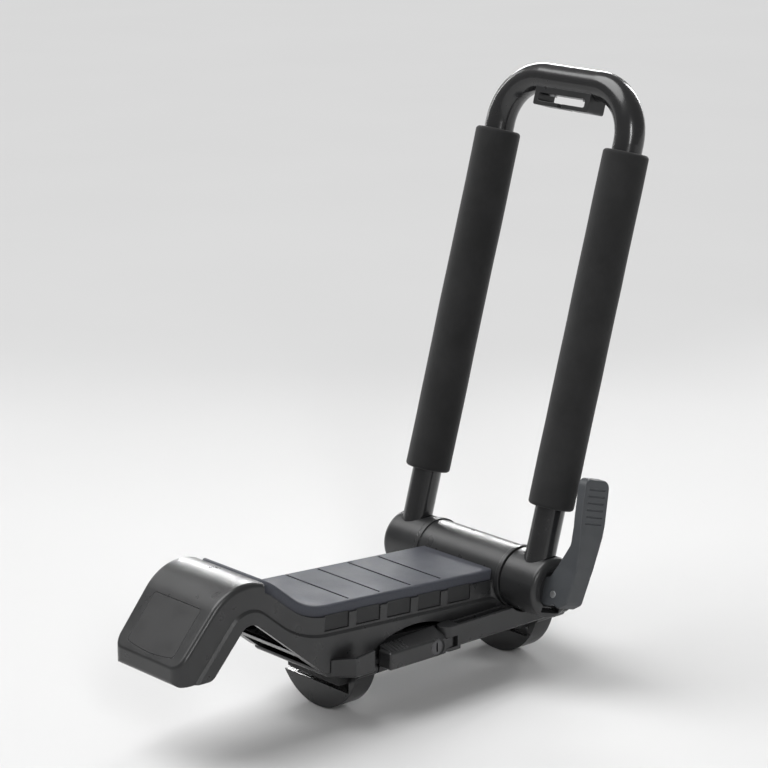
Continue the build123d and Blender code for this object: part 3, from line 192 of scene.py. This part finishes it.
# %% [markdown]
# A CAD edge is perfectly sharp, and a moulded or turned edge never is. The Bevel node turns the normals
# smoothly over an edge without touching the mesh, so that it catches a thin line of light. Where that soft
# normal leaves the true one, there is an edge, and the edge is painted lighter: partly as wear where hands
# have rubbed it, partly as a painted highlight. The product of the two normals tells how much.

# %% Helpers for relief and edges
BEVEL_SAMPLES = 6
# Edges are painted lighter between these two values: partly rubbed wear, partly a painted highlight.
EDGE_WEAR_AND_HIGHLIGHT_START, EDGE_WEAR_AND_HIGHLIGHT_END = 0.995, 0.9


def bump(material, height, depth, strength=1.0, normal=None):
    """Small relief: the height, from 0 to 1, times a depth in metres."""
    values = {"Height": height, "Distance": depth, "Strength": strength}
    if normal is not None:
        values["Normal"] = normal
    return add(material, "ShaderNodeBump", values).outputs["Normal"]


def soft_edge(material, radius):
    """Normals that turn smoothly over sharp edges, as if each were rounded by a radius."""
    return add(material, "ShaderNodeBevel", {"Radius": radius}, samples=BEVEL_SAMPLES).outputs["Normal"]


# Mask of the edges that are painted lighter: partly rubbed wear, partly a painted highlight.
def edge_wear_and_highlight(material, rounded):
    """Where the rounded normal leaves the true one, from 0 on flats to 1 on edges."""
    true = add(material, "ShaderNodeNewGeometry").outputs["Normal"]
    made = add(material, "ShaderNodeVectorMath", {0: rounded, 1: true}, operation="DOT_PRODUCT")
    return spread(material, made.outputs["Value"], 1.0, 0.0, from_low=EDGE_WEAR_AND_HIGHLIGHT_END, from_high=EDGE_WEAR_AND_HIGHLIGHT_START)


print("edge helpers ready")

# %% [markdown]
# Most of the carrier is black moulded plastic. The steel mould was spark eroded, which leaves a fine matt
# grain, and its edges are painted a little lighter, partly as wear from handling and partly as a painted
# highlight. The grain is a bump with features a third of a millimetre across, the edges use the Bevel node,
# and two slow noises keep colour and gloss from being the same all over.

# %% Moulded plastic
PLASTIC_CLOUDS, PLASTIC_WEAR_AND_HIGHLIGHT_PATCHES, PLASTIC_PATCHES = 22.0, 240.0, 70.0
PLASTIC_DARK, PLASTIC_LIGHT = 0.86, 1.14
PLASTIC_EDGE = 0.0008
PLASTIC_GRAIN_DEPTH = 0.00003
PLASTIC_GLOSSIER, PLASTIC_DULLER = 0.05, 0.07
WEAR_AND_HIGHLIGHT_LEAST, WEAR_AND_HIGHLIGHT_MOST = 0.25, 0.8
BODY_COLOUR = (0.021, 0.0213, 0.022)


def moulded_plastic(name, colour, gloss=0.31, grain=0.00035, rub_and_highlight=2.0):
    """Satin plastic: cloudy colour, grained bump, edges painted lighter by a factor, as rubbed wear and as a
    painted highlight.

    Gloss is the middle roughness, and grain the size of the bump's features in metres.
    """
    material, shader = start_material(name)
    cloud = spread(material, noise(material, PLASTIC_CLOUDS, detail=4.0), 0.0, 1.0)
    body = blend(material, cloud, shade(colour, PLASTIC_DARK), shade(colour, PLASTIC_LIGHT))
    rounded = soft_edge(material, PLASTIC_EDGE)
    # The edges are painted lighter here, in patches: partly rubbed wear, partly a painted highlight.
    patchy_wear_and_highlight = spread(material, noise(material, PLASTIC_WEAR_AND_HIGHLIGHT_PATCHES, detail=3.0), WEAR_AND_HIGHLIGHT_LEAST, WEAR_AND_HIGHLIGHT_MOST)
    worn_and_highlighted_edge = times(material, edge_wear_and_highlight(material, rounded), patchy_wear_and_highlight)
    join(material, blend(material, worn_and_highlighted_edge, body, shade(colour, rub_and_highlight)), shader.inputs["Base Color"])
    patch = noise(material, PLASTIC_PATCHES, detail=3.0)
    shine = spread(material, patch, gloss - PLASTIC_GLOSSIER, gloss + PLASTIC_DULLER)
    join(material, shine, shader.inputs["Roughness"])
    grains = noise(material, 1.0 / grain, detail=1.0)
    join(material, bump(material, grains, PLASTIC_GRAIN_DEPTH, normal=rounded), shader.inputs["Normal"])
    return material


body_black = moulded_plastic("body_plastic", BODY_COLOUR)
lever_grey = moulded_plastic("lever_plastic", (0.052, 0.056, 0.061), gloss=0.5)
panel_black = moulded_plastic("panel_plastic", (0.022, 0.0222, 0.0228), gloss=0.38, grain=0.0005)
print("plastics:", body_black.name, lever_grey.name, panel_black.name)

# %% [markdown]
# The saddle pad is slate grey rubber: softer than the plastic, with almost no gloss and a dusty bloom. Its
# clip tabs are moulded on in black, so that they match the side of the base that they hook over. One
# material can do both, because the tabs are the only part of the pad that stands so far out to the sides:
# the distance from the middle plane tells which colour to use. The grips under the tray are black rubber.

# %% Rubber
RUBBER_PATCHES, RUBBER_SPECKS, RUBBER_PEBBLES = 35.0, 900.0, 1400.0
RUBBER_GLOSSIER, RUBBER_DULLER = 0.06, 0.1
RUBBER_EDGE = 0.0006
PEBBLE_DEPTH, PEBBLE_STRENGTH = 0.00004, 0.8
BLOOM_START, BLOOM_END = 0.15, 0.4
TAB_DEPTH = 0.0007


def from_middle(material):
    """Distance of the point from the carrier's middle plane, in metres."""
    sideways = add(material, "ShaderNodeSeparateXYZ", {"Vector": place(material)}).outputs["Y"]
    return add(material, "ShaderNodeMath", {0: sideways}, operation="ABSOLUTE").outputs["Value"]


def moulded_rubber(name, colour, bloom, gloss=0.62, tabs=None):
    """Matt rubber with a powdery bloom in slow patches and a fine pebbled skin.

    Tabs, where given, are a distance from the middle plane and the colour of the rubber beyond it.
    """
    material, shader = start_material(name)
    patch = noise(material, RUBBER_PATCHES, detail=6.0, roughness=0.6)
    mixed = times(material, patch, noise(material, RUBBER_SPECKS))
    dust = spread(material, mixed, 0.0, 1.0, from_low=BLOOM_START, from_high=BLOOM_END)
    skin = blend(material, dust, colour, bloom)
    if tabs:
        start, tab_colour = tabs
        end = start + TAB_DEPTH / 2
        beyond = spread(material, from_middle(material), 0.0, 1.0, from_low=start, from_high=end)
        skin = blend(material, beyond, skin, tab_colour)
    join(material, skin, shader.inputs["Base Color"])
    shine = spread(material, patch, gloss - RUBBER_GLOSSIER, gloss + RUBBER_DULLER)
    join(material, shine, shader.inputs["Roughness"])
    pebbles = add(material, "ShaderNodeTexVoronoi", {"Vector": place(material), "Scale": RUBBER_PEBBLES})
    relief = bump(material, pebbles.outputs["Distance"], PEBBLE_DEPTH, strength=PEBBLE_STRENGTH,
                  normal=soft_edge(material, RUBBER_EDGE))
    join(material, relief, shader.inputs["Normal"])
    return material


tab_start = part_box("saddle_pad")[1].y - TAB_DEPTH
saddle_rubber = moulded_rubber("saddle_rubber", (0.044, 0.047, 0.059), (0.055, 0.059, 0.073),
                               tabs=(tab_start, BODY_COLOUR))
grip_rubber = moulded_rubber("grip_rubber", (0.016, 0.016, 0.0165), (0.024, 0.024, 0.025), gloss=0.7)
print("rubbers:", saddle_rubber.name, grip_rubber.name, "tabs from", round(tab_start, 4))

# %% [markdown]
# The upright is steel tube under gloss black powder coat. Powder coat flows a little before it sets, so it
# has the faint waviness called orange peel, which shows best where a lamp is mirrored along the tube. A thin
# clear coat over the colour gives the second, sharper shine.

# %% Gloss powder coat
PAINT_CLOUDS, PAINT_PATCHES, PAINT_PEEL = 30.0, 90.0, 520.0
PAINT_LIGHT = 1.25
PAINT_SMOOTH, PAINT_ROUGH = 0.2, 0.28
PEEL_DEPTH = 0.00002
COAT_WEIGHT, COAT_ROUGHNESS = 0.35, 0.08


def powder_coat(name, colour):
    """Gloss paint: a dark base under a clear coat, with orange peel about 2 mm across."""
    material, shader = start_material(name)
    cloud = spread(material, noise(material, PAINT_CLOUDS, detail=3.0), 0.0, 1.0)
    join(material, blend(material, cloud, colour, shade(colour, PAINT_LIGHT)), shader.inputs["Base Color"])
    patch = spread(material, noise(material, PAINT_PATCHES, detail=4.0), PAINT_SMOOTH, PAINT_ROUGH)
    join(material, patch, shader.inputs["Roughness"])
    shader.inputs["Coat Weight"].default_value = COAT_WEIGHT
    shader.inputs["Coat Roughness"].default_value = COAT_ROUGHNESS
    peel = noise(material, PAINT_PEEL, detail=1.0)
    join(material, bump(material, peel, PEEL_DEPTH), shader.inputs["Normal"])
    return material


tube_black = powder_coat("tube_paint", (0.011, 0.011, 0.0115))
print("paint:", tube_black.name)

# %% [markdown]
# Pins, screws and the clamp rod are zinc plated steel, the jaw shaft and its small parts are blackened, and
# the lock's core is a darker cast metal. Turning leaves fine streaks, and plating leaves a slightly cloudy
# shine. Metals take their look from the roughness far more than from the colour, so most of this recipe is
# about roughness, and the three metals share it.

# %% Plated steel
PLATING_CLOUDS, PLATING_STREAKS = 160.0, 300.0
PLATING_DARK = 0.8
STREAK_STRETCH = (14.0, 1.0, 1.0)
STREAK_DEPTH = 0.00001
STEEL_EDGE = 0.0003


def plated_steel(name, colour, smooth, rough):
    """Metal with cloudy plating: fine streaks drive the roughness from smooth to rough, clouds the colour."""
    material, shader = start_material(name)
    shader.inputs["Metallic"].default_value = 1.0
    cloud = noise(material, PLATING_CLOUDS, detail=4.0)
    join(material, blend(material, cloud, shade(colour, PLATING_DARK), colour), shader.inputs["Base Color"])
    streak = noise(material, PLATING_STREAKS, stretch=STREAK_STRETCH)
    join(material, spread(material, streak, smooth, rough), shader.inputs["Roughness"])
    rounded = soft_edge(material, STEEL_EDGE)
    join(material, bump(material, streak, STREAK_DEPTH, normal=rounded), shader.inputs["Normal"])
    return material


zinc_steel = plated_steel("zinc_steel", (0.72, 0.73, 0.74), 0.34, 0.5)
lock_steel = plated_steel("lock_metal", (0.12, 0.12, 0.124), 0.25, 0.42)
black_steel = plated_steel("black_steel", (0.055, 0.055, 0.057), 0.3, 0.48)
print("metals:", zinc_steel.name, lock_steel.name, black_steel.name)

# %% [markdown]
# Bushes and washers inside the hinge are pale bearing plastic. They hardly show, but a piece that is seen
# through a gap should still be finished. It is moulded like the rest, so the same recipe does.

# %% Bearing plastic
# Its edges are painted only a little lighter, as rubbed wear and as a painted highlight.
bearing_white = moulded_plastic("bearing_plastic", (0.3, 0.3, 0.28), gloss=0.35, rub_and_highlight=1.1)
print("bearing plastic:", bearing_white.name)

# %% [markdown]
# Every CAD piece now takes the finish of its material slot. The record says which slot each piece has, so
# a dictionary from slot to material is all that is needed. The two plain foam sleeves of the CAD model get
# black rubber for the moment: better sleeves replace them further down.

# %% Finish the CAD pieces
finish_of = {
    "body_plastic": body_black,
    "lever_plastic": lever_grey,
    "plate_plastic": panel_black,
    "saddle_rubber": saddle_rubber,
    "grip_rubber": grip_rubber,
    "tube_paint": tube_black,
    "bearing_plastic": bearing_white,
    "steel": zinc_steel,
    "black_steel": black_steel,
    "lock_metal": lock_steel,
    "foam": grip_rubber,
}
for name, piece in nodes.items():
    piece.data.materials.clear()
    piece.data.materials.append(finish_of[slot_of[name]])
print("finished", len(nodes), "CAD pieces")

# %% [markdown]
# Two foam sleeves pad the legs of the upright. Foam of this kind is extruded as a thick tube, cut to
# length and pushed on with air, so its ends are slightly rounded and its wall is never quite true. A plain
# cylinder would look like pipe. Here a sleeve is a closed profile carried round the leg: a grid of points
# that wraps round both ways. The first helper turns such a grid into a mesh.

# %% Skin from a grid
def piece_from_grid(name, points, material):
    """A closed skin from a grid of points of shape (rows, columns, 3) that wraps round both ways.

    Each face joins a point to its neighbour in the next row and the next column, counted round.
    """
    rows, columns, _ = points.shape
    row, column = np.meshgrid(np.arange(rows), np.arange(columns), indexing="ij")
    next_row, next_column = (row + 1) % rows, (column + 1) % columns
    corners = [row * columns + column, next_row * columns + column,
               next_row * columns + next_column, row * columns + next_column]
    quads = np.stack(corners, axis=-1).reshape(-1, 4)
    mesh = bpy.data.meshes.new(name)
    mesh.from_pydata(points.reshape(-1, 3), [], quads)
    mesh.polygons.foreach_set("use_smooth", np.ones(len(quads), bool))
    mesh.materials.append(material)
    mesh.update()
    piece = bpy.data.objects.new(name, mesh)
    bpy.context.scene.collection.objects.link(piece)
    return piece


print("grid helper ready")

# %% [markdown]
# The legs lean, so a sleeve's axis is not one of the frame's. It can be measured: of all directions, the
# points of a long round piece spread most along its axis, which is what a singular value decomposition
# finds. The distances from that axis then give the bore and the outside.

# %% Measure a round piece
UP = np.array((0.0, 0.0, 1.0))


def points_of(node):
    """All points of a CAD piece as an array."""
    mesh = nodes[node].data
    flat = np.zeros(len(mesh.vertices) * 3)
    mesh.vertices.foreach_get("co", flat)
    return flat.reshape(-1, 3)


def measure_round(node):
    """Axis of a round piece: its foot, its direction, length, and its inner and outer radius.

    The direction is the one with the greatest spread of points, turned upwards.
    """
    points = points_of(node)
    centre = (points.min(axis=0) + points.max(axis=0)) / 2
    direction = np.linalg.svd(points - points.mean(axis=0), full_matrices=False)[2][0]
    direction = direction * np.sign(direction @ UP)
    along = (points - centre) @ direction
    across = np.linalg.norm(points - centre - np.outer(along, direction), axis=1)
    foot = centre + direction * along.min()
    return foot, direction, along.max() - along.min(), across.min(), across.max()


print("measuring helpers ready")

# %% [markdown]
# Closed-cell foam has a skin of tiny burst bubbles. It scatters light well and has no highlight to speak
# of, so it is the darkest and flattest of the blacks here. Two sizes of cells give the skin its texture,
# and a slow cloud shows where the skin has rubbed grey.

# %% Foam finish
FOAM_PATCHES, FOAM_CELLS, FOAM_FINE = 28.0, 1100.0, 2600.0
FOAM_RUB_START, FOAM_RUB_END = 0.35, 0.75
FOAM_ROUGHNESS, FOAM_SPECULAR, FOAM_SHEEN = 0.88, 0.3, 0.12
CELL_DEPTH, CELL_STRENGTH, FINE_DEPTH = 0.00009, 0.9, 0.00004


def closed_cell_foam(name, colour, rubbed):
    """Matt foam: fine cells in the bump, slow rubbed patches in the colour, a little sheen."""
    material, shader = start_material(name)
    patch = noise(material, FOAM_PATCHES, detail=5.0, roughness=0.62)
    amount = spread(material, patch, 0.0, 1.0, from_low=FOAM_RUB_START, from_high=FOAM_RUB_END)
    join(material, blend(material, amount, colour, rubbed), shader.inputs["Base Color"])
    shader.inputs["Roughness"].default_value = FOAM_ROUGHNESS
    shader.inputs["Specular IOR Level"].default_value = FOAM_SPECULAR
    shader.inputs["Sheen Weight"].default_value = FOAM_SHEEN
    cells = add(material, "ShaderNodeTexVoronoi", {"Vector": place(material), "Scale": FOAM_CELLS})
    coarse = bump(material, cells.outputs["Distance"], CELL_DEPTH, strength=CELL_STRENGTH)
    fine = bump(material, noise(material, FOAM_FINE), FINE_DEPTH, normal=coarse)
    join(material, fine, shader.inputs["Normal"])
    return material


foam_black = closed_cell_foam("foam", (0.0125, 0.0125, 0.0128), (0.021, 0.021, 0.0215))
print("foam finish:", foam_black.name)

# %% [markdown]
# Cut a sleeve open lengthwise and its wall is a long thin loop: up the outside, over a lip, down the bore
# and round again. A hot wire cuts the ends, and the foam shrinks a little there, so the outer lip has a
# larger radius than the one at the bore. Four quarter circles and one straight run make the whole loop.

# %% Sleeve profile
FOAM_LIP = 0.0032
FOAM_BORE_LIP = 0.0012
FOAM_STEPS = 150
QUARTER = math.pi / 2


def lip(radius, height, size, start, steps=8):
    """Quarter circle of a profile: columns of radius and height, beginning at an angle."""
    angle = start + np.linspace(0.0, QUARTER, steps)
    return np.stack([radius + size * np.cos(angle), height + size * np.sin(angle)], axis=1)


def sleeve_profile(length, bore, outer):
    """Wall of the sleeve cut open: up the outside, over a rounded lip, down the bore, and round again."""
    height = np.linspace(FOAM_LIP, length - FOAM_LIP, FOAM_STEPS)
    wall = np.stack([np.full(FOAM_STEPS, outer), height], axis=1)
    top_out = lip(outer - FOAM_LIP, length - FOAM_LIP, FOAM_LIP, 0.0)
    top_in = lip(bore + FOAM_BORE_LIP, length - FOAM_BORE_LIP, FOAM_BORE_LIP, QUARTER)
    low_in = lip(bore + FOAM_BORE_LIP, FOAM_BORE_LIP, FOAM_BORE_LIP, 2 * QUARTER)
    low_out = lip(outer - FOAM_LIP, FOAM_LIP, FOAM_LIP, 3 * QUARTER)
    return np.concatenate([wall, top_out[1:], top_in, low_in, low_out[:-1]])


near_length, near_bore, near_outer = measure_round("near_foam_sleeve")[2:]
print("points in a profile:", len(sleeve_profile(near_length, near_bore, near_outer)))

# %% [markdown]
# With the profile and the finish ready, the two sleeves can be made. On the real carrier a sleeve slides
# down the leg before the bar is set in its sockets, so each one is a full ring with no seam. Slow waves run
# up the sleeve and round it and press shallow dents into the wall. The two sleeves take different dents, by
# a phase, because no two cut lengths of foam are alike.

# %% Foam sleeves
FOAM_TURNS = 96
FOAM_DENT = 0.00028
# Each wave: its strength, its waves along the sleeve, their share of the phase, its lobes round the sleeve,
# and their share of the phase.
FOAM_WAVES = ((1.0, 1.7, 1.0, 1, -1.0), (0.7, 3.9, 2.1, 2, 1.0), (0.4, 7.3, 0.6, 3, -2.0))
FOAM_PHASES = {"near": 0.9, "far": 2.6}


def dents(share, turn, phase):
    """Sum of the waves: for each, a sine along the sleeve times a cosine round it."""
    total = np.zeros(np.broadcast_shapes(share.shape, turn.shape))
    for strength, count, along, lobes, across in FOAM_WAVES:
        rise = np.sin(2 * math.pi * (count * share) + along * phase)
        total = total + strength * rise * np.cos(lobes * turn + across * phase)
    return total


def foam_sleeve(node, name, phase):
    """Sleeve on a leg: the profile turned round the leg's axis, with slow dents in the outer wall.

    The radius at an angle and a height is the profile's, less the dents, which fade out towards the bore
    because it lies close to the tube.
    """
    foot, direction, length, bore, outer = measure_round(node)
    profile = sleeve_profile(length, bore, outer)
    turn = np.linspace(0.0, 2 * math.pi, FOAM_TURNS, endpoint=False)[:, None]
    radius, height = profile[:, 0][None, :], profile[:, 1][None, :]
    outside = np.clip((radius - bore) / (outer - bore), 0.0, 1.0)
    radius = radius - FOAM_DENT * outside * (1.0 + dents(height / length, turn, phase)) / 2
    side = np.cross(direction, (0.0, 1.0, 0.0))
    side = side / np.linalg.norm(side)
    other = np.cross(direction, side)
    spoke = np.cos(turn)[..., None] * side + np.sin(turn)[..., None] * other
    points = foot + radius[..., None] * spoke + height[..., None] * direction
    return piece_from_grid(name, points, foam_black)


for side_name, phase in FOAM_PHASES.items():
    sleeve = foam_sleeve(f"{side_name}_foam_sleeve", f"{side_name}_foam", phase)
    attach(sleeve, "u_bar")
    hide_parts(f"{side_name}_foam_sleeve")
    print(sleeve.name, "has", len(sleeve.data.polygons), "faces")

# %% [markdown]
# The carrier is shown on a pale floor. A very large plane fills the picture from this camera, so no wall is
# needed. It is quite matt and mirrors nothing, so that only the carrier's own shadow falls on it.

# %% Floor
FLOOR_COLOUR = (0.7, 0.7, 0.7)
FLOOR_DARK = 0.985
FLOOR_CLOUDS = 3.0
FLOOR_ROUGHNESS = 0.9
FLOOR_REACH = 40.0
FLOOR_GAP = 0.0005


def floor_material():
    """Pale matt floor with the faintest mottling."""
    material, shader = start_material("floor")
    cloud = spread(material, noise(material, FLOOR_CLOUDS, detail=3.0), 0.0, 1.0)
    pale = blend(material, cloud, shade(FLOOR_COLOUR, FLOOR_DARK), FLOOR_COLOUR)
    join(material, pale, shader.inputs["Base Color"])
    shader.inputs["Roughness"].default_value = FLOOR_ROUGHNESS
    shader.inputs["Specular IOR Level"].default_value = 0.0
    return material


floor_height = cad_low.z - FLOOR_GAP
floor_corners = np.array([(-1, -1), (1, -1), (1, 1), (-1, 1)], float) * FLOOR_REACH
floor_mesh = bpy.data.meshes.new("floor")
floor_mesh.from_pydata(np.column_stack([floor_corners, np.full(4, floor_height)]), [], [(0, 1, 2, 3)])
floor_mesh.materials.append(floor_material())
floor = bpy.data.objects.new("floor", floor_mesh)
bpy.context.scene.collection.objects.link(floor)
print("floor at", round(floor_height, 4))

# %% [markdown]
# Black things are seen by what they mirror. A wide soft sun from above lights the floor evenly, so that a
# colour looks about as it is written. The highlights come from four long soft lamps: one far behind, low
# enough to glance off the crest of the hump, a strip on each side behind the upright that draws a bright
# rim down the tube, and one above the camera for the tube's broad shine. Each stands behind a grid, as in a
# studio, so that its light falls on the carrier and not all over the floor.

# %% Lamps
SUN_FROM = Vector((-0.3, 0.35, 0.88))
SUN_STRENGTH = 2.6
SUN_WIDTH = math.radians(50)
GRID_SPREAD = math.radians(45)
BACK_LAMP_FROM = Vector((1.47, 1.73, 0.82))
middle = (cad_low + cad_high) / 2
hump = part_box("nose_plate")[1]
# Each soft lamp: its name, its place, what it is turned to, its width and height, and its power in watts.
SOFT_LAMPS = (
    ("back_lamp", hump + BACK_LAMP_FROM, hump, (1.5, 0.14), 1.9),
    ("left_strip", Vector((0.15, 2.1, 0.8)), middle, (0.1, 1.5), 0.6),
    ("right_strip", Vector((1.9, 0.5, 0.9)), middle, (0.16, 1.6), 1.3),
    ("camera_lamp", Vector((-1.2, -2.0, 1.5)), middle, (0.34, 1.2), 1.6),
)


def put_lamp(name, kind, spot, aim, power):
    """Lamp of a kind at a spot, turned towards a point."""
    data = bpy.data.lights.new(name, kind)
    data.energy = power
    lamp = bpy.data.objects.new(name, data)
    bpy.context.scene.collection.objects.link(lamp)
    lamp.location = spot
    lamp.rotation_mode = "QUATERNION"
    lamp.rotation_quaternion = (aim - spot).to_track_quat("-Z", "Y")
    return data


sun = put_lamp("high_sun", "SUN", middle + SUN_FROM, middle, SUN_STRENGTH)
sun.angle = SUN_WIDTH
for name, spot, aim, size, power in SOFT_LAMPS:
    lamp_data = put_lamp(name, "AREA", spot, aim, power)
    lamp_data.shape = "RECTANGLE"
    lamp_data.size, lamp_data.size_y = size
    lamp_data.spread = GRID_SPREAD

# %% [markdown]
# A weak pale sky fills the shadows, as the walls of a studio do, and stands behind the carrier in views from
# lower down. The Standard view shows colours without a film look.

# %% Sky
SKY_COLOUR = (0.8, 0.8, 0.8, 1.0)
SKY_STRENGTH = 0.32

world = bpy.data.worlds.new("sky")
bpy.context.scene.world = world
world.use_nodes = True
world.node_tree.nodes["Background"].inputs["Color"].default_value = SKY_COLOUR
world.node_tree.nodes["Background"].inputs["Strength"].default_value = SKY_STRENGTH
bpy.context.scene.view_settings.view_transform = "Standard"
print("sky strength:", SKY_STRENGTH)
